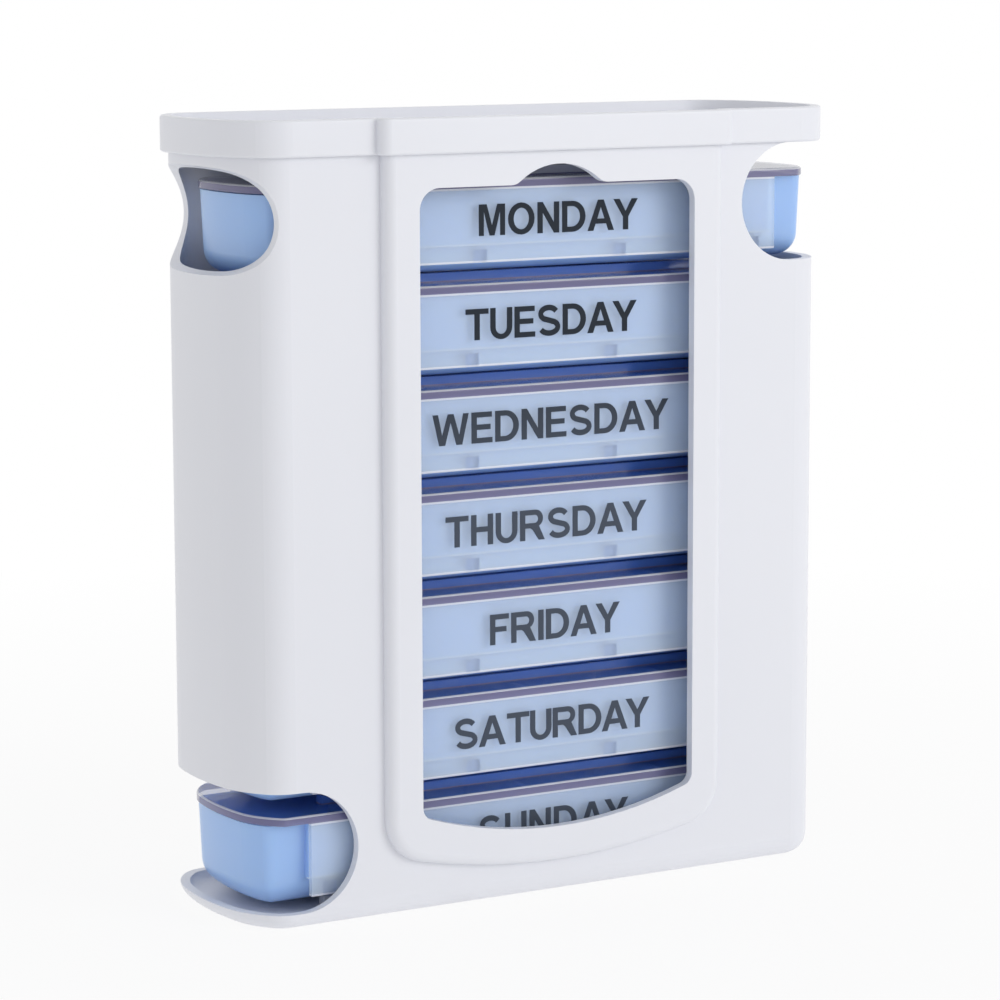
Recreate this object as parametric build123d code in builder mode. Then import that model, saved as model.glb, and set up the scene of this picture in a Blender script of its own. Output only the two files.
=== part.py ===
import os
from math import asin, cos, sin, sqrt

from build123d import *

# Weekly pill drawer organizer: a tall case that holds a stack of seven slim drawers, each
# under its own clear sliding cover. The top drawer leaves to the right, the bottom one to
# the left. Millimetres. X runs along the front, Y to the back, Z up from the underside.

# Case
case_half_length = 52.4
case_half_depth = 16.4
case_wall = 1.5
case_floor = 1.2
case_corner_radius = 5.5
case_foot_radius = 3.2
case_headroom = 5.8

# Bowed ends: a flat crown arc runs into a tighter arc at each side, centres shared by
# the case, the drawers and the covers
crown_radius = 47.0
crown_half_width = 7.3
shoulder_radius = 14.0

# Raised window frame on the front
frame_half_width = 29.5
frame_proud = 2.0
frame_border = 5.6
frame_edge_radius = 1.6
frame_corner_radius = 7.0
window_half_width = 24.0
window_top_drop = 0.8
window_foot_drop = 1.7
window_sag = 4.2
window_top_radius = 3.3
window_foot_radius = 2.0
window_edge_radius = 0.5
thumb_notch_width = 15.0
thumb_notch_height = 3.0
thumb_notch_foot_radius = 2.5

# Drawer stack
day_names = ("sunday", "saturday", "friday", "thursday", "wednesday", "tuesday", "monday")
drawer_pitch = 15.6
stack_gap = 0.2
top_drawer_shift = 1.5
bottom_drawer_shift = -0.3

# Clear covers
cover_end_gap = 1.5
cover_side_gap = 1.0
cover_corner_radius = 1.2
cover_plate = 1.25
cover_edge_radius = 0.4
skirt_wall = 0.9
skirt_end_margin = 8.8
skirt_lift = 2.9
clip_width = 2.4
clip_height = 1.9
clip_depth = 0.8

# Low ribs on the case floor and on each cover, which the next tray slides on
slide_rib_height = 1.4
slide_rib_width = 1.6
slide_rib_spacing = 16.0
slide_rib_half_length = 36.0

# Drawer trays
slide_gap = 0.3
tray_end_setback = 0.3
tray_corner_radius = 1.0
tray_wall = 1.2
tray_floor = 1.2
tray_draft = 2.5
tray_bottom_radius = 3.6
tray_hollow_radius = 2.4
tray_rail_depth = 0.8
tray_rail_lift = 5.4
divider_wall = 1.0
compartment_count = 4

# Ways in and out of the case
slot_radius = 9.2
slot_reach = 18.4
slot_sill_gap = 0.2
push_hole_radius = 8.1
push_hole_lift = 10.1
push_hole_setout = 1.6

# Top cap
cap_plate = 1.8
cap_dish_depth = 2.0
cap_skirt_depth = 1.6
cap_overhang = 1.2
cap_lip = 1.6
cap_edge_radius = 0.4
cap_skirt_gap = 0.1
cap_rib_wall = 1.2
cap_rib_height = 1.4
cap_rib_gap = 0.3

# Sizes that follow from these
drawer_height = drawer_pitch - stack_gap
tray_rim = drawer_height - cover_plate - stack_gap
tray_underside = slide_rib_height
cover_half_depth = case_half_depth - case_wall - cover_side_gap
skirt_inner = cover_half_depth - skirt_wall
rail_half_depth = skirt_inner - slide_gap
tray_half_depth = rail_half_depth - tray_rail_depth
cover_end_inset = case_wall + cover_end_gap
tray_end_inset = cover_end_inset + tray_end_setback
frame_front = case_half_depth + frame_proud
tray_half_length = case_half_length - tray_end_inset
skirt_half_length = tray_half_length - skirt_end_margin
compartment_pitch = 2 * tray_half_length / compartment_count
frame_root = case_half_depth / 2
beyond = 20.0
pick_tolerance = 0.01


def drawer_level(index):
    return case_floor + stack_gap + index * drawer_pitch


top_level = drawer_level(len(day_names) - 1)
wall_top = top_level + drawer_height + case_headroom
overall_height = wall_top + cap_plate + cap_dish_depth
cap_bottom = wall_top - cap_skirt_depth
window_top = top_level + drawer_height - window_top_drop
window_foot = drawer_level(1) - window_foot_drop


def end_outline(end_inset, half_depth, corner_radius):
    # Plan outline with straight front and back and bowed ends, set in from the case's tips
    crown_angle = asin(crown_half_width / crown_radius)
    crown_centre = case_half_length - crown_radius
    crown = crown_radius - end_inset
    shoulder = shoulder_radius - end_inset
    shoulder_x = crown_centre + (crown_radius - shoulder_radius) * cos(crown_angle)
    shoulder_y = (crown_radius - shoulder_radius) * sin(crown_angle)
    corner_x = shoulder_x + sqrt(shoulder**2 - (half_depth - shoulder_y) ** 2)
    join_x = crown_centre + crown * cos(crown_angle)
    join_y = crown * sin(crown_angle)
    tip_x = crown_centre + crown
    half_turn = (asin((half_depth - shoulder_y) / shoulder) + crown_angle) / 2
    middle_x = shoulder_x + shoulder * cos(half_turn)
    middle_y = shoulder_y + shoulder * sin(half_turn)
    with BuildSketch() as outline:
        with BuildLine():
            Line((-corner_x, half_depth), (corner_x, half_depth))
            Line((-corner_x, -half_depth), (corner_x, -half_depth))
            for side in (-1, 1):
                ThreePointArc(
                    (side * join_x, -join_y), (side * tip_x, 0), (side * join_x, join_y)
                )
                for turn in (-1, 1):
                    ThreePointArc(
                        (side * join_x, turn * join_y),
                        (side * middle_x, turn * middle_y),
                        (side * corner_x, turn * half_depth),
                    )
        make_face()
        corners = [v for v in outline.vertices() if abs(abs(v.Y) - half_depth) < pick_tolerance]
        fillet(corners, corner_radius)
    return outline.sketch


def frame_outline(inset):
    # Front view of the raised frame: straight sides up to the cap over an arched foot
    half_width = frame_half_width - inset
    side_foot = window_foot - frame_border + inset
    with BuildSketch() as outline:
        with BuildLine():
            Polyline(
                (-half_width, side_foot),
                (-half_width, wall_top),
                (half_width, wall_top),
                (half_width, side_foot),
            )
            ThreePointArc(
                (half_width, side_foot), (0, side_foot - window_sag), (-half_width, side_foot)
            )
        make_face()
        feet = [v for v in outline.vertices() if abs(v.Y - side_foot) < pick_tolerance]
        fillet(feet, frame_corner_radius - inset)
    return outline.sketch


def window_outline():
    notch_radius = (thumb_notch_width**2 / 4 + thumb_notch_height**2) / (2 * thumb_notch_height)
    with BuildSketch() as outline:
        with BuildLine():
            Polyline(
                (-window_half_width, window_foot),
                (-window_half_width, window_top),
                (window_half_width, window_top),
                (window_half_width, window_foot),
            )
            ThreePointArc(
                (window_half_width, window_foot),
                (0, window_foot - window_sag),
                (-window_half_width, window_foot),
            )
        make_face()
        with Locations((0, window_top + thumb_notch_height - notch_radius)):
            Circle(notch_radius)
        tops = [v for v in outline.vertices() if abs(v.Y - window_top) < pick_tolerance]
        fillet([v for v in tops if abs(v.X) > window_half_width - pick_tolerance], window_top_radius)
        tops = [v for v in outline.vertices() if abs(v.Y - window_top) < pick_tolerance]
        fillet([v for v in tops if abs(v.X) < thumb_notch_width], thumb_notch_foot_radius)
        feet = [v for v in outline.vertices() if abs(v.Y - window_foot) < pick_tolerance]
        fillet(feet, window_foot_radius)
    return outline.sketch


def slot_cutter(side, level, top):
    # U-shaped way out round one end of the case, from front to back
    sill = level + tray_underside - slot_sill_gap
    centre_x = case_half_length - slot_reach + slot_radius
    with BuildPart() as cutter:
        with BuildSketch(Plane.XZ):
            with Locations((side * centre_x, sill + slot_radius)):
                Circle(slot_radius)
            with Locations((side * (centre_x + beyond / 2), (sill + top) / 2)):
                Rectangle(beyond, top - sill)
        extrude(amount=2 * case_half_depth, both=True)
    return cutter.part


def slide_ribs(base):
    # The pair of ribs that carry the tray above, standing on the face at that height
    with BuildPart() as ribs:
        with Locations((0, 0, base)):
            with GridLocations(0, slide_rib_spacing, 1, 2):
                Box(
                    2 * slide_rib_half_length,
                    slide_rib_width,
                    slide_rib_height,
                    align=(Align.CENTER, Align.CENTER, Align.MIN),
                )
    return ribs.part


def case_plan(outset):
    # Plan of the case and its raised frame together, grown by outset
    with BuildSketch() as plan:
        add(end_outline(-outset, case_half_depth + outset, case_corner_radius + outset))
        with Locations((0, -(frame_front + outset) / 2)):
            Rectangle(2 * (frame_half_width + outset), frame_front + outset)
        front_edge = -(frame_front + outset)
        front = [v for v in plan.vertices() if abs(v.Y - front_edge) < pick_tolerance]
        fillet(front, frame_edge_radius)
    return plan.sketch


# Case body: a cup with bowed ends, then the raised frame, then one hollow for both
with BuildPart() as case_hollow:
    with BuildSketch(Plane.XY.offset(case_floor)):
        add(end_outline(case_wall, case_half_depth - case_wall, case_corner_radius - case_wall))
    extrude(amount=wall_top - case_floor)
    fillet(case_hollow.faces().sort_by(Axis.Z)[0].edges(), case_foot_radius - case_wall)
    with BuildSketch(Plane.XZ.offset(frame_root)):
        add(frame_outline(case_wall))
    extrude(amount=frame_front - case_wall - frame_root)

with BuildPart() as case_body:
    with BuildSketch():
        add(end_outline(0, case_half_depth, case_corner_radius))
    extrude(amount=wall_top)
    fillet(case_body.faces().sort_by(Axis.Z)[0].edges(), case_foot_radius)
    with BuildSketch(Plane.XZ.offset(frame_root)):
        add(frame_outline(0))
    extrude(amount=frame_front - frame_root)
    frame_face = case_body.faces().sort_by(Axis.Y)[0]
    frame_rim = [e for e in frame_face.edges() if e.center().Z < wall_top - pick_tolerance]
    fillet(frame_rim, frame_edge_radius)
    add(case_hollow.part, mode=Mode.SUBTRACT)
    add(slide_ribs(case_floor))
    with BuildSketch(Plane.XZ.offset(frame_root)):
        add(window_outline())
    extrude(amount=case_half_depth, mode=Mode.SUBTRACT)
    slot_top = drawer_level(0) + tray_underside - slot_sill_gap + 2 * slot_radius
    add(slot_cutter(-1, drawer_level(0), slot_top), mode=Mode.SUBTRACT)
    add(slot_cutter(1, top_level, wall_top + beyond), mode=Mode.SUBTRACT)
    with Locations((-case_half_length - push_hole_setout, 0, top_level + push_hole_lift)):
        Cylinder(
            push_hole_radius,
            2 * case_half_depth + beyond,
            rotation=(90, 0, 0),
            mode=Mode.SUBTRACT,
        )
case_body.part.label = "case_body"

# Top cap: a shallow dish that overhangs the walls, with a rib that finds the hollow
with BuildPart() as top_cap:
    with BuildSketch(Plane.XY.offset(cap_bottom)):
        add(case_plan(cap_overhang))
    extrude(amount=overall_height - cap_bottom)
    cap_faces = top_cap.faces().sort_by(Axis.Z)
    fillet(cap_faces[-1].edges() + cap_faces[0].edges(), cap_edge_radius)
    with BuildSketch(Plane.XY.offset(overall_height - cap_dish_depth)):
        add(case_plan(cap_overhang - cap_lip))
    extrude(amount=cap_dish_depth, mode=Mode.SUBTRACT)
    with BuildSketch(Plane.XY.offset(cap_bottom)):
        add(case_plan(cap_skirt_gap))
    extrude(amount=wall_top - cap_bottom, mode=Mode.SUBTRACT)
    rib_inset = case_wall + cap_rib_gap
    with BuildSketch(Plane.XY.offset(wall_top - cap_rib_height)):
        add(end_outline(rib_inset, case_half_depth - rib_inset, case_corner_radius - rib_inset))
        offset(amount=-cap_rib_wall, kind=Kind.INTERSECTION, mode=Mode.SUBTRACT)
    extrude(amount=cap_rib_height)
top_cap.part.label = "top_cap"

# One drawer tray, its underside level at Z = 0
with BuildPart() as tray_hollow:
    with BuildSketch(Plane.XY.offset(tray_rim)):
        add(end_outline(tray_end_inset + tray_wall, tray_half_depth - tray_wall, tray_corner_radius))
    extrude(amount=-(tray_rim - tray_underside - tray_floor), taper=tray_draft)
    fillet(tray_hollow.faces().sort_by(Axis.Z)[0].edges(), tray_hollow_radius)
    with Locations((0, 0, tray_rim / 2)):
        with GridLocations(compartment_pitch, 0, compartment_count - 1, 1):
            Box(divider_wall, 2 * case_half_depth, 2 * tray_rim, mode=Mode.SUBTRACT)

with BuildPart() as drawer_tray:
    with BuildSketch(Plane.XY.offset(tray_rim)):
        add(end_outline(tray_end_inset, tray_half_depth, tray_corner_radius + tray_wall))
    extrude(amount=-(tray_rim - tray_underside), taper=tray_draft)
    fillet(drawer_tray.faces().sort_by(Axis.Z)[0].edges(), tray_bottom_radius)
    with Locations((0, 0, tray_rail_lift)):
        Box(
            2 * skirt_half_length,
            2 * rail_half_depth,
            tray_rim - tray_rail_lift,
            align=(Align.CENTER, Align.CENTER, Align.MIN),
        )
    add(tray_hollow.part, mode=Mode.SUBTRACT)

# One clear cover in its place over that tray
with BuildPart() as drawer_cover:
    with BuildSketch(Plane.XY.offset(tray_rim + stack_gap)):
        add(end_outline(cover_end_inset, cover_half_depth, cover_corner_radius))
    extrude(amount=cover_plate)
    fillet(drawer_cover.faces().sort_by(Axis.Z)[-1].edges(), cover_edge_radius)
    add(slide_ribs(drawer_height))
    skirt_height = tray_rim + stack_gap - skirt_lift
    for side in (-1, 1):
        with Locations((0, side * (skirt_inner + skirt_wall / 2), skirt_lift)):
            Box(
                2 * skirt_half_length,
                skirt_wall,
                skirt_height,
                align=(Align.CENTER, Align.CENTER, Align.MIN),
            )
        with Locations((0, side * (skirt_inner - clip_depth / 2), skirt_lift)):
            with GridLocations(compartment_pitch, 0, compartment_count, 1):
                Box(
                    clip_width,
                    clip_depth,
                    clip_height,
                    align=(Align.CENTER, Align.CENTER, Align.MIN),
                )

os.makedirs("parts", exist_ok=True)
export_step(case_body.part, "parts/case_body.step")
export_step(top_cap.part, "parts/top_cap.step")

drawer_shifts = {0: bottom_drawer_shift, len(day_names) - 1: top_drawer_shift}
for index, day in enumerate(day_names):
    place = (drawer_shifts.get(index, 0), 0, drawer_level(index))
    with BuildPart() as day_tray:
        with Locations(place):
            add(drawer_tray.part)
    day_tray.part.label = f"{day}_tray"
    export_step(day_tray.part, f"parts/{day}_tray.step")
    with BuildPart() as day_cover:
        with Locations(place):
            add(drawer_cover.part)
    day_cover.part.label = f"{day}_cover"
    export_step(day_cover.part, f"parts/{day}_cover.step")
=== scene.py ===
import math

import bpy
from mathutils import Matrix, Vector


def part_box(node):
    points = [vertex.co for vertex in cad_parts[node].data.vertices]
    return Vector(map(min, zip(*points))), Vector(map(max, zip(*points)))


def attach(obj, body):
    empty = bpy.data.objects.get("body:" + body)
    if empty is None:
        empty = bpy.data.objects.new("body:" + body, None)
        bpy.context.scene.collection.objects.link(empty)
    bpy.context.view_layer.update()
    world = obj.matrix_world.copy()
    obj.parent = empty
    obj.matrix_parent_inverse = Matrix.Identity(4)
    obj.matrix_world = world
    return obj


# Weekly pill drawer organizer: white case and cap, seven light blue trays under clear covers,
# each cover printed with its day. Metres, front towards -Y.
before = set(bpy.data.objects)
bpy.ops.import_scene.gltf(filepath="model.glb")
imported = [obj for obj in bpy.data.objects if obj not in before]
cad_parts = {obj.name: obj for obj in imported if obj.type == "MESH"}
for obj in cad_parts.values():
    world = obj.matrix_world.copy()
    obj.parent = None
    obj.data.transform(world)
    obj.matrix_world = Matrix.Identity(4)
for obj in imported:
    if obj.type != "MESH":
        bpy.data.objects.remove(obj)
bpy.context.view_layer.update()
print("frame loaded:", len(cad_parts), "nodes")

days = ["sunday", "saturday", "friday", "thursday", "wednesday", "tuesday", "monday"]  # upwards
bodyOfCover = {"sunday": "sunday_lid", "monday": "monday_lid"}  # the other covers stay in the case


# Helpers for the node trees
def shader(name):
    material = bpy.data.materials.new(name)
    material.use_nodes = True
    return material, material.node_tree, material.node_tree.nodes["Principled BSDF"]


def feed(tree, source, target):
    # gives an input another node's output, or a plain value
    if isinstance(source, bpy.types.NodeSocket):
        tree.links.new(source, target)
    else:
        target.default_value = source


def maths(tree, operation, first, second=None):
    step = tree.nodes.new("ShaderNodeMath")
    step.operation = operation
    feed(tree, first, step.inputs[0])
    if second is not None:
        feed(tree, second, step.inputs[1])
    return step.outputs["Value"]


def between(tree, value, low, high):
    over = maths(tree, "GREATER_THAN", value, low)
    under = maths(tree, "LESS_THAN", value, high)
    return maths(tree, "MULTIPLY", over, under)


def blend(tree, kind, mask, below, above):
    # below where the mask is zero, above where it is one
    mix = tree.nodes.new("ShaderNodeMix")
    mix.data_type = kind
    feed(tree, mask, mix.inputs["Factor"])
    feed(tree, below, mix.inputs["A"])
    feed(tree, above, mix.inputs["B"])
    return mix.outputs["Result"]


def spread(tree, source, low, high, start=0.0, end=1.0):
    # start to end becomes low to high, and it holds beyond them
    mapped = tree.nodes.new("ShaderNodeMapRange")
    mapped.inputs["From Min"].default_value = start
    mapped.inputs["From Max"].default_value = end
    mapped.inputs["To Min"].default_value = low
    mapped.inputs["To Max"].default_value = high
    tree.links.new(source, mapped.inputs["Value"])
    return mapped.outputs["Result"]


def objectNoise(tree, scale, detail):
    # noise on the object's own coordinates, in metres
    where = tree.nodes.new("ShaderNodeTexCoord")
    noise = tree.nodes.new("ShaderNodeTexNoise")
    noise.inputs["Scale"].default_value = scale
    noise.inputs["Detail"].default_value = detail
    tree.links.new(where.outputs["Object"], noise.inputs["Vector"])
    return noise.outputs["Fac"]


def objectAxes(tree):
    where = tree.nodes.new("ShaderNodeTexCoord")
    axes = tree.nodes.new("ShaderNodeSeparateXYZ")
    tree.links.new(where.outputs["Object"], axes.inputs["Vector"])
    return axes.outputs


def addFinish(tree, surface, height, finish):
    # gloss and fine bump from one noise
    low, high = finish["roughness"]
    tree.links.new(spread(tree, height, low, high), surface.inputs["Roughness"])
    bump = tree.nodes.new("ShaderNodeBump")
    bump.inputs["Strength"].default_value, bump.inputs["Distance"].default_value = finish["bump"]
    tree.links.new(height, bump.inputs["Height"])
    tree.links.new(bump.outputs["Normal"], surface.inputs["Normal"])


drawerStack = {"firstLevel": 0.0014, "pitch": 0.0156}  # repeats two values of the CAD source


def heightInDrawer(tree, height):
    # height above the foot of whichever drawer a point is in
    above = maths(tree, "SUBTRACT", height, drawerStack["firstLevel"])
    return maths(tree, "FLOORED_MODULO", above, drawerStack["pitch"])


def mouldedPlastic(name, plastic):
    # opaque plastic with a cloudy colour, fine grain and a little light inside it
    material, tree, surface = shader(name)
    cloud = objectNoise(tree, *plastic["cloud"])
    colour = blend(tree, "RGBA", cloud, plastic["colour"], plastic["shade"])
    addFinish(tree, surface, objectNoise(tree, *plastic["grain"]), plastic)
    weight, radius, scale = plastic["subsurface"]
    surface.inputs["Subsurface Weight"].default_value = weight
    surface.inputs["Subsurface Radius"].default_value = radius
    surface.inputs["Subsurface Scale"].default_value = scale
    return material, tree, surface, colour


casePlastic = {
    "colour": (0.80, 0.81, 0.86, 1),
    "shade": (0.77, 0.78, 0.83, 1),
    "cloud": (26, 3.0),  # scale and detail of a noise
    "grain": (2600, 2.0),
    "roughness": (0.34, 0.44),
    "bump": (0.12, 0.00004),  # strength and distance
    "subsurface": (0.12, (0.9, 0.95, 1.0), 0.0015),  # weight, radius and scale
}


def makeCaseWhite():
    material, tree, surface, colour = mouldedPlastic("caseWhite", casePlastic)
    tree.links.new(colour, surface.inputs["Base Color"])
    return material


trayPlastic = {
    "colour": (0.37, 0.56, 0.95, 1),
    "shade": (0.34, 0.53, 0.93, 1),
    "cloud": (40, 3.0),
    "grain": (1900, 2.0),
    "roughness": (0.28, 0.38),
    "bump": (0.1, 0.00003),
    "subsurface": (0.3, (0.45, 0.65, 1.0), 0.003),
    # painted highlight colour for the lower edge of the rails
    "paintedRailHighlight": (0.72, 0.83, 1.0, 1),
    "paintedRailHighlightSpan": (0.00530, 0.00562),  # heights in a drawer
    "railInside": 0.0122,
}


def makeTrayBlue():
    # a thin pale line is painted along the lower edge of the tray's rails, as a painted highlight
    # where that edge catches the light
    material, tree, surface, colour = mouldedPlastic("trayBlue", trayPlastic)
    axes = objectAxes(tree)
    depth = maths(tree, "ABSOLUTE", axes["Y"])
    onRail = maths(tree, "GREATER_THAN", depth, trayPlastic["railInside"])
    band = between(tree, heightInDrawer(tree, axes["Z"]), *trayPlastic["paintedRailHighlightSpan"])
    paintedRailHighlight = maths(tree, "MULTIPLY", band, onRail)
    railHighlighted = blend(tree, "RGBA", paintedRailHighlight, colour, trayPlastic["paintedRailHighlight"])
    tree.links.new(railHighlighted, surface.inputs["Base Color"])
    return material


clearPlastic = {
    # pale wall colour: partly the clear plastic's own tint, partly a painted reflection of the white
    # surroundings
    "wallTintAndReflection": (0.78, 0.89, 1.0, 1),
    # painted blue for the flat plate and rib sides: painted reflection of the tray above and painted
    # shade in the gap under it
    "paintedGapBlue": (0.12, 0.28, 0.86, 1),
    # the top cover's plate has no tray above it and is painted pale, as the lit copy
    "topPlateLitColour": (0.80, 0.82, 0.96, 1),
    # painted shade: the clips under the plate are painted darker blue
    "clipShadeColour": (0.28, 0.40, 0.70, 1),
    # painted shade: the plate's upright edge is painted dark mauve
    "edgeShadeColour": (0.19, 0.18, 0.32, 1),
    # painted highlight on the rounded rim, the seam and the skirt's lower edge
    "glintColour": (0.90, 0.92, 0.98, 1),
    "wallAlpha": 0.32,
    "ribAlpha": 0.50,
    "flatAlpha": (0.08, 0.85),  # seen square on, and seen nearly edge on
    "grazing": 4.0,
    "edgeAlpha": 0.80,
    "glintAlpha": 0.60,
    "smear": (90, 3.0),
    "roughness": (0.04, 0.10),
    "bump": (0.03, 0.0001),
    "uprightBelow": 0.35,  # how far a face's normal may lean up or down
    "flatAbove": 0.96,
    "topPlateFoot": 0.1085,  # height on the whole object; the rest are heights in a drawer
    "edgeFoot": 0.01408,
    "seamFoot": 0.01378,
    "lipTop": 0.0032,
    "ribTop": 0.0022,
    "skirtInside": 0.0125,  # distances from the middle, front to back
    "clipSpan": (0.0115, 0.0129),
}


def coverMasks(tree):
    # one on each mark of a cover, and zero elsewhere
    axes = objectAxes(tree)
    local = heightInDrawer(tree, axes["Z"])
    depth = maths(tree, "ABSOLUTE", axes["Y"])
    facing = tree.nodes.new("ShaderNodeNewGeometry")
    tilt = tree.nodes.new("ShaderNodeSeparateXYZ")
    tree.links.new(facing.outputs["Normal"], tilt.inputs["Vector"])
    slope = maths(tree, "ABSOLUTE", tilt.outputs["Z"])

    upright = maths(tree, "LESS_THAN", slope, clearPlastic["uprightBelow"])
    leaning = maths(tree, "GREATER_THAN", slope, clearPlastic["uprightBelow"])
    flat = maths(tree, "GREATER_THAN", slope, clearPlastic["flatAbove"])
    rounded = maths(tree, "SUBTRACT", leaning, flat)
    ribSide = maths(tree, "LESS_THAN", local, clearPlastic["ribTop"])
    overEdgeFoot = maths(tree, "GREATER_THAN", local, clearPlastic["edgeFoot"])

    overSeamFoot = maths(tree, "GREATER_THAN", local, clearPlastic["seamFoot"])
    seam = maths(tree, "SUBTRACT", overSeamFoot, overEdgeFoot)
    lip = maths(tree, "LESS_THAN", local, clearPlastic["lipTop"])
    onSkirt = maths(tree, "GREATER_THAN", depth, clearPlastic["skirtInside"])
    skirtGlintLine = maths(tree, "MULTIPLY", maths(tree, "MAXIMUM", lip, seam), onSkirt)
    uprightGlintLine = maths(tree, "MULTIPLY", skirtGlintLine, upright)

    clipBand = between(tree, depth, *clearPlastic["clipSpan"])
    underPlate = maths(tree, "LESS_THAN", local, clearPlastic["seamFoot"])
    return {
        "flat": flat,
        "ribSide": ribSide,
        # flat plates and rib sides, painted blue as painted reflection and painted shade
        "paintedBlue": maths(tree, "MAXIMUM", flat, ribSide),
        # the plate's upright edge, painted dark mauve as painted shade
        "edge": maths(tree, "MULTIPLY", overEdgeFoot, upright),
        # the clips under the plate, painted darker blue as painted shade
        "clip": maths(tree, "MULTIPLY", clipBand, underPlate),
        # rounded rim, seam and skirt foot, painted white as painted highlights
        "glint": maths(tree, "MAXIMUM", rounded, uprightGlintLine),
        "onTop": maths(tree, "GREATER_THAN", axes["Z"], clearPlastic["topPlateFoot"]),
    }


def makeCoverClear():
    # clear plate and skirt, with painted light: the plate's upright edge is painted dark mauve as
    # painted shade, its rounded rim, its seam and the skirt's lower edge carry painted highlights,
    # and the plate is painted with the blue of the tray above it, as painted reflection and painted
    # shade in the gap under it, which only the top cover hasn't got
    material, tree, surface = shader("coverClear")
    masks = coverMasks(tree)
    paintedPlateColour = blend(
        tree, "RGBA", masks["onTop"], clearPlastic["paintedGapBlue"], clearPlastic["topPlateLitColour"]
    )
    # every face starts from the pale wall colour, partly tint and partly painted reflection
    colour = clearPlastic["wallTintAndReflection"]
    paints = (
        ("paintedBlue", paintedPlateColour), ("edge", clearPlastic["edgeShadeColour"]),
        ("clip", clearPlastic["clipShadeColour"]), ("glint", clearPlastic["glintColour"]),
    )
    for mark, paint in paints:
        colour = blend(tree, "RGBA", masks[mark], colour, paint)
    tree.links.new(colour, surface.inputs["Base Color"])

    # the flat plate is made denser the flatter it is seen, so its painted blue shows most when seen
    # nearly edge on
    glancing = tree.nodes.new("ShaderNodeLayerWeight")
    shallow = maths(tree, "POWER", glancing.outputs["Facing"], clearPlastic["grazing"])
    plateAlpha = spread(tree, shallow, *clearPlastic["flatAlpha"])
    alpha = clearPlastic["wallAlpha"]
    layers = (
        ("ribSide", clearPlastic["ribAlpha"]), ("flat", plateAlpha),
        ("edge", clearPlastic["edgeAlpha"]), ("clip", clearPlastic["edgeAlpha"]),
        ("glint", clearPlastic["glintAlpha"]),
    )
    for mark, density in layers:
        alpha = blend(tree, "FLOAT", masks[mark], alpha, density)
    tree.links.new(alpha, surface.inputs["Alpha"])
    addFinish(tree, surface, objectNoise(tree, *clearPlastic["smear"]), clearPlastic)
    return material


ink = {
    "unreflected": (0.018, 0.024, 0.034, 1),
    # paler print colour under the painted reflection
    "paintedReflected": (0.062, 0.076, 0.104, 1),
    "paintedReflectedBelow": 0.066,  # heights on the whole object
    "unreflectedAbove": 0.084,
    "fleck": (1400, 3.0),
    "roughness": (0.5, 0.65),
    "specular": 0.15,
}


def makeInk():
    # the print is painted paler from Wednesday down, as a painted reflection of the white floor on the
    # lower covers
    material, tree, surface = shader("printInk")
    paintedReflection = spread(tree, objectAxes(tree)["Z"], 0.0, 1.0, ink["paintedReflectedBelow"], ink["unreflectedAbove"])
    tree.links.new(blend(tree, "RGBA", paintedReflection, ink["paintedReflected"], ink["unreflected"]), surface.inputs["Base Color"])
    fleck = objectNoise(tree, *ink["fleck"])
    tree.links.new(spread(tree, fleck, *ink["roughness"]), surface.inputs["Roughness"])
    surface.inputs["Specular IOR Level"].default_value = ink["specular"]
    return material


groundWhite = {
    "colour": (0.90, 0.90, 0.91, 1),
    "roughness": 0.8,
    "nearGlow": 0.88,  # how much white glow the camera sees by the organizer; far away it is one
    "leastGlow": 0.5,  # how much of it reaches the organizer as light from below
    "nearRadius": 0.08,
    "farRadius": 0.30,
    "halfWidth": 6,
}


def makeGround():
    # a plain pale floor that fades into the white background; it glows, so the organizer's shadow
    # on it is faint
    material, tree, surface = shader("groundWhite")
    surface.inputs["Base Color"].default_value = groundWhite["colour"]
    surface.inputs["Roughness"].default_value = groundWhite["roughness"]
    glow = tree.nodes.new("ShaderNodeEmission")
    glow.inputs["Color"].default_value = (1, 1, 1, 1)
    where = tree.nodes.new("ShaderNodeTexCoord")
    reach = tree.nodes.new("ShaderNodeVectorMath")
    reach.operation = "LENGTH"
    tree.links.new(where.outputs["Object"], reach.inputs[0])
    fade = spread(
        tree, reach.outputs["Value"], groundWhite["nearGlow"], 1.0,
        groundWhite["nearRadius"], groundWhite["farRadius"]
    )
    seen = tree.nodes.new("ShaderNodeLightPath").outputs
    viewed = maths(tree, "MULTIPLY", seen["Is Camera Ray"], fade)
    mirrored = maths(tree, "MAXIMUM", seen["Is Glossy Ray"], seen["Is Transmission Ray"])
    either = maths(tree, "MAXIMUM", viewed, mirrored)
    mix = tree.nodes.new("ShaderNodeMixShader")
    tree.links.new(maths(tree, "MAXIMUM", either, groundWhite["leastGlow"]), mix.inputs["Fac"])
    tree.links.new(surface.outputs["BSDF"], mix.inputs[1])
    tree.links.new(glow.outputs["Emission"], mix.inputs[2])
    tree.links.new(mix.outputs["Shader"], tree.nodes["Material Output"].inputs["Surface"])
    return material


caseWhite = makeCaseWhite()
trayBlue = makeTrayBlue()
coverClear = makeCoverClear()
printInk = makeInk()
print("materials made")


def dressNode(name, material):
    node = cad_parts[name]
    node.data.materials.clear()
    node.data.materials.append(material)


dressNode("case_body", caseWhite)
dressNode("top_cap", caseWhite)
for day in days:
    dressNode(day + "_tray", trayBlue)
    dressNode(day + "_cover", coverClear)
print("frame dressed")


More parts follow.
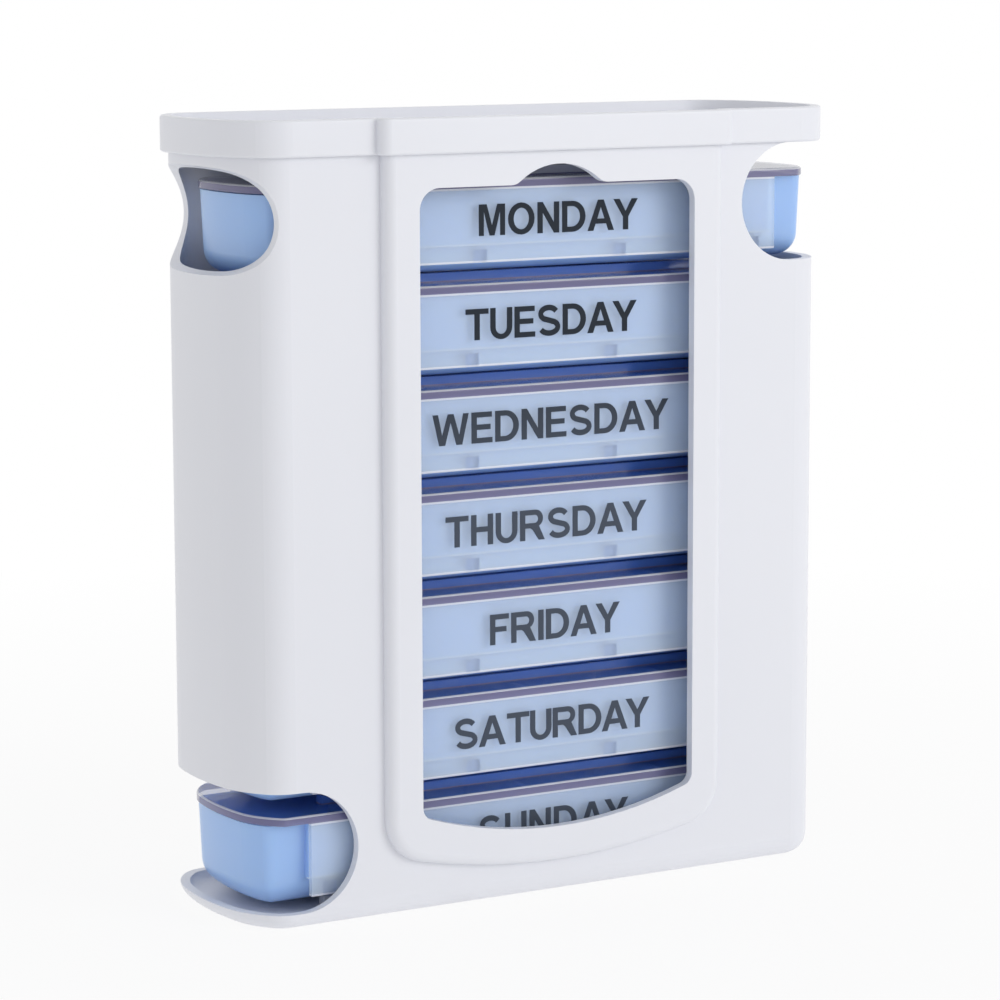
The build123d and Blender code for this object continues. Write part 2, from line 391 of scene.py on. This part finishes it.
# Printed day names, one on the front skirt of each cover
lettering = {
    "capHeight": 0.0047,
    "inkThickness": 0.00006,
    "baseline": 0.0040,
    "weldDistance": 0.000001,
    "kerning": {"AY": 0.13, "DA": 0.03, "TU": 0.02, "RD": -0.01},
    "widths": {
        "monday": 0.028, "tuesday": 0.0302, "wednesday": 0.0418, "thursday": 0.0357,
        "friday": 0.0232, "saturday": 0.0350, "sunday": 0.0269,
    },
    "offsets": {
        "monday": 0.0010, "tuesday": 0.00125, "wednesday": 0.0013, "thursday": 0.0004,
        "friday": 0.0018, "saturday": 0.0014, "sunday": 0.0019,
    },
}
stem, bar = 0.195, 0.17  # stroke widths of a letter one unit tall


def bend(centreX, centreY, radiusX, radiusY, start, end, count=14):
    turns = [math.radians(start + (end - start) * i / count) for i in range(count + 1)]
    return [(centreX + radiusX * math.cos(t), centreY + radiusY * math.sin(t)) for t in turns]


def ribbon(spine, width):
    # outline of a stroke of even width along a line of points
    left, right = [], []
    for i, (x, y) in enumerate(spine):
        before, after = spine[max(i - 1, 0)], spine[min(i + 1, len(spine) - 1)]
        dx, dy = after[0] - before[0], after[1] - before[1]
        size = math.hypot(dx, dy)
        left.append((x - dy / size * width / 2, y + dx / size * width / 2))
        right.append((x + dy / size * width / 2, y - dx / size * width / 2))
    return left + right[::-1]


letters = {  # width, then closed loops
    "A": (1.00, [
        [(0, 0), (0.39, 1), (0.61, 1), (1, 0), (0.785, 0), (0.70, 0.225), (0.30, 0.225), (0.215, 0)],
        [(0.362, 0.39), (0.638, 0.39), (0.5, 0.77)],
    ]),
    "D": (0.88, [
        [(0, 0), (0, 1)] + bend(0.39, 0.5, 0.49, 0.5, 90, -90),
        [(stem, bar), (stem, 1 - bar)] + bend(0.37, 0.5, 0.305, 0.5 - bar, 90, -90),
    ]),
    "E": (0.77, [[
        (0, 0), (0, 1), (0.75, 1), (0.75, 1 - bar), (stem, 1 - bar), (stem, 0.60), (0.70, 0.60),
        (0.70, 0.60 - bar), (stem, 0.60 - bar), (stem, bar), (0.77, bar), (0.77, 0),
    ]]),
    "F": (0.70, [[
        (0, 0), (0, 1), (0.70, 1), (0.70, 1 - bar), (stem, 1 - bar), (stem, 0.59), (0.61, 0.59),
        (0.61, 0.59 - bar), (stem, 0.59 - bar), (stem, 0),
    ]]),
    "H": (0.81, [[
        (0, 0), (0, 1), (stem, 1), (stem, 0.60), (0.81 - stem, 0.60), (0.81 - stem, 1), (0.81, 1),
        (0.81, 0), (0.81 - stem, 0), (0.81 - stem, 0.60 - bar), (stem, 0.60 - bar), (stem, 0),
    ]]),
    "I": (0.20, [[(0, 0), (0, 1), (0.20, 1), (0.20, 0)]]),
    "M": (0.96, [[
        (0, 0), (0, 1), (0.285, 1), (0.48, 0.32), (0.675, 1), (0.96, 1), (0.96, 0), (0.78, 0),
        (0.78, 0.78), (0.57, 0), (0.39, 0), (0.18, 0.78), (0.18, 0),
    ]]),
    "N": (0.81, [[
        (0, 0), (0, 1), (stem, 1), (0.81 - stem, 0.34), (0.81 - stem, 1), (0.81, 1), (0.81, 0),
        (0.81 - stem, 0), (stem, 0.66), (stem, 0),
    ]]),
    "O": (0.98, [
        bend(0.49, 0.5, 0.49, 0.515, 0, 345, 23),
        bend(0.49, 0.5, 0.285, 0.345, 0, 345, 23),
    ]),
    "R": (0.93, [
        [(0, 0), (0, 1)] + bend(0.58, 0.715, 0.28, 0.285, 90, -62)
        + [(0.93, 0), (0.70, 0), (0.47, 0.345), (0.38, 0.40), (stem, 0.40), (stem, 0)],
        [(stem, 0.565), (stem, 1 - bar)] + bend(0.55, 0.6975, 0.13, 0.1325, 90, -90),
    ]),
    "S": (0.86, [ribbon(
        bend(0.42, 0.715, 0.30, 0.20, 22, 235) + bend(0.44, 0.285, 0.325, 0.20, 55, -158), stem * 0.93
    )]),
    "T": (0.84, [[
        (0, 1), (0.84, 1), (0.84, 1 - bar), (0.42 + stem / 2, 1 - bar), (0.42 + stem / 2, 0),
        (0.42 - stem / 2, 0), (0.42 - stem / 2, 1 - bar), (0, 1 - bar),
    ]]),
    "U": (0.81, [
        [(0, 1)] + bend(0.405, 0.38, 0.405, 0.395, 180, 360) + [(0.81, 1), (0.81 - stem, 1)]
        + bend(0.405, 0.38, 0.405 - stem, 0.225, 360, 180) + [(stem, 1)],
    ]),
    "W": (1.32, [[
        (0, 1), (0.20, 1), (0.345, 0.31), (0.555, 1), (0.765, 1), (0.975, 0.31), (1.12, 1), (1.32, 1),
        (1.08, 0), (0.865, 0), (0.66, 0.74), (0.455, 0), (0.24, 0),
    ]]),
    "Y": (0.93, [[
        (0, 1), (0.235, 1), (0.465, 0.60), (0.695, 1), (0.93, 1), (0.565, 0.42), (0.565, 0),
        (0.365, 0), (0.365, 0.42),
    ]]),
}


def makePrintTree():
    # fills the letter outlines and raises them by the thickness of the ink
    tree = bpy.data.node_groups.new("dayPrint", "GeometryNodeTree")
    socketOf = {}
    for label, kind in (("Outlines", "NodeSocketGeometry"), ("Ink Thickness", "NodeSocketFloat"),
                        ("Ink", "NodeSocketMaterial")):
        socketOf[label] = tree.interface.new_socket(label, in_out="INPUT", socket_type=kind).identifier
    tree.interface.new_socket("Print", in_out="OUTPUT", socket_type="NodeSocketGeometry")
    nodes, links = tree.nodes, tree.links
    given, result = nodes.new("NodeGroupInput"), nodes.new("NodeGroupOutput")
    fill = nodes.new("GeometryNodeFillCurve")
    fill.mode = "NGONS"
    raised = nodes.new("GeometryNodeExtrudeMesh")
    raised.inputs["Individual"].default_value = False
    turned = nodes.new("GeometryNodeFlipFaces")
    joined = nodes.new("GeometryNodeJoinGeometry")
    welded = nodes.new("GeometryNodeMergeByDistance")
    welded.inputs["Distance"].default_value = lettering["weldDistance"]
    real = nodes.new("GeometryNodeRealizeInstances")
    inked = nodes.new("GeometryNodeSetMaterial")
    links.new(given.outputs["Outlines"], fill.inputs["Curve"])
    links.new(fill.outputs["Mesh"], raised.inputs["Mesh"])
    links.new(given.outputs["Ink Thickness"], raised.inputs["Offset Scale"])
    links.new(fill.outputs["Mesh"], turned.inputs["Mesh"])
    links.new(raised.outputs["Mesh"], joined.inputs["Geometry"])
    links.new(turned.outputs["Mesh"], joined.inputs["Geometry"])
    links.new(joined.outputs["Geometry"], welded.inputs["Geometry"])
    links.new(welded.outputs["Geometry"], real.inputs["Geometry"])
    links.new(real.outputs["Geometry"], inked.inputs["Geometry"])
    links.new(given.outputs["Ink"], inked.inputs["Material"])
    links.new(inked.outputs["Geometry"], result.inputs["Print"])
    return tree, socketOf


printTree, printSockets = makePrintTree()


def dayOutlines(day):
    word = day.upper()
    tall = lettering["capHeight"]
    glyphWidth = sum(letters[letter][0] for letter in word)
    pairs = [lettering["kerning"].get(word[i:i + 2], 0.0) for i in range(len(word) - 1)] + [0.0]
    space = (lettering["widths"][day] / tall - glyphWidth + sum(pairs)) / (len(word) - 1)
    loops, pen = [], 0.0
    for letter, closer in zip(word, pairs):
        width, shapes = letters[letter]
        loops += [[((pen + x) * tall, y * tall) for x, y in shape] for shape in shapes]
        pen += width + space - closer
    return loops


def printDay(day):
    low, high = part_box(day + "_cover")
    curve = bpy.data.curves.new(day + "Outlines", "CURVE")
    curve.dimensions = "2D"
    for loop in dayOutlines(day):
        spline = curve.splines.new("POLY")
        spline.points.add(len(loop) - 1)
        for point, (x, y) in zip(spline.points, loop):
            point.co = (x, y, 0, 1)
        spline.use_cyclic_u = True
    holder = bpy.data.objects.new(day + "Outlines", curve)
    bpy.context.scene.collection.objects.link(holder)
    printing = holder.modifiers.new("dayPrint", "NODES")
    printing.node_group = printTree
    printing[printSockets["Ink Thickness"]] = lettering["inkThickness"]
    printing[printSockets["Ink"]] = printInk
    bpy.context.view_layer.update()
    depsgraph = bpy.context.evaluated_depsgraph_get()
    mesh = bpy.data.meshes.new_from_object(holder.evaluated_get(depsgraph))
    holder.modifiers.remove(printing)
    bpy.data.objects.remove(holder)
    startX = (low.x + high.x - lettering["widths"][day]) / 2 + lettering["offsets"][day]
    baseZ = low.z + lettering["baseline"]
    for v in mesh.vertices:
        v.co = (startX + v.co.x, low.y - v.co.z, baseZ + v.co.y)
    mesh.materials.clear()
    mesh.materials.append(printInk)
    piece = bpy.data.objects.new(day + "Print", mesh)
    bpy.context.scene.collection.objects.link(piece)
    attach(piece, bodyOfCover.get(day, "case"))


for day in days:
    printDay(day)
print("day names printed")


# Floor, light and camera
def addFloor():
    reach = groundWhite["halfWidth"]
    corners = [(-reach, -reach, 0), (reach, -reach, 0), (reach, reach, 0), (-reach, reach, 0)]
    mesh = bpy.data.meshes.new("ground")
    mesh.from_pydata(corners, [], [(0, 1, 2, 3)])
    ground = bpy.data.objects.new("ground", mesh)
    bpy.context.scene.collection.objects.link(ground)
    mesh.materials.append(makeGround())


studio = {
    "world": 0.64,
    "aim": (0, 0, 0.06),
    "lamps": {  # place, size and power
        "keyLamp": ((0.55, -0.80, 0.36), (0.5, 0.4), 3.0),
        "topLamp": ((0.0, 0.1, 0.9), (0.7, 0.5), 0.3),
        "fillLamp": ((-0.9, -0.3, 0.35), (0.5, 0.5), 0.2),
    },
}


def addLamp(name, place, size, power):
    lamp = bpy.data.lights.new(name, "AREA")
    lamp.shape = "RECTANGLE"
    lamp.size, lamp.size_y = size
    lamp.energy = power
    holder = bpy.data.objects.new(name, lamp)
    holder.location = place
    holder.rotation_euler = (Vector(studio["aim"]) - Vector(place)).to_track_quat("-Z", "Y").to_euler()
    bpy.context.scene.collection.objects.link(holder)


def addLight():
    # the world is white to the camera, gloss and glass, and dimmer as a light
    world = bpy.data.worlds.new("studio")
    bpy.context.scene.world = world
    world.use_nodes = True
    tree = world.node_tree
    background = tree.nodes["Background"]
    background.inputs["Color"].default_value = (1, 1, 1, 1)
    seen = tree.nodes.new("ShaderNodeLightPath").outputs
    direct = maths(tree, "MAXIMUM", seen["Is Camera Ray"], seen["Is Glossy Ray"])
    white = maths(tree, "MAXIMUM", direct, seen["Is Transmission Ray"])
    tree.links.new(spread(tree, white, studio["world"], 1.0), background.inputs["Strength"])
    for name, (place, size, power) in studio["lamps"].items():
        addLamp(name, place, size, power)


photoCamera = {
    "sensor": 36,
    "lens": 128.39,
    "nearClip": 0.01,
    "place": (-0.2752, -0.4769, 0.1418),
    "heading": 29.991,  # degrees, as are the next two
    "drop": 8.516,
    "roll": -0.163,
}


def addCamera():
    lens = bpy.data.cameras.new("photoCamera")
    lens.sensor_width = photoCamera["sensor"]
    lens.lens = photoCamera["lens"]
    lens.clip_start = photoCamera["nearClip"]
    camera = bpy.data.objects.new("photoCamera", lens)
    turn = (
        Matrix.Rotation(-math.radians(photoCamera["heading"]), 4, "Z")
        @ Matrix.Rotation(math.radians(90 - photoCamera["drop"]), 4, "X")
        @ Matrix.Rotation(math.radians(photoCamera["roll"]), 4, "Z")
    )
    camera.matrix_world = Matrix.Translation(photoCamera["place"]) @ turn
    bpy.context.scene.collection.objects.link(camera)
    bpy.context.scene.camera = camera


addFloor()
addLight()
addCamera()
bpy.context.scene.view_settings.view_transform = "Standard"
print("studio ready")
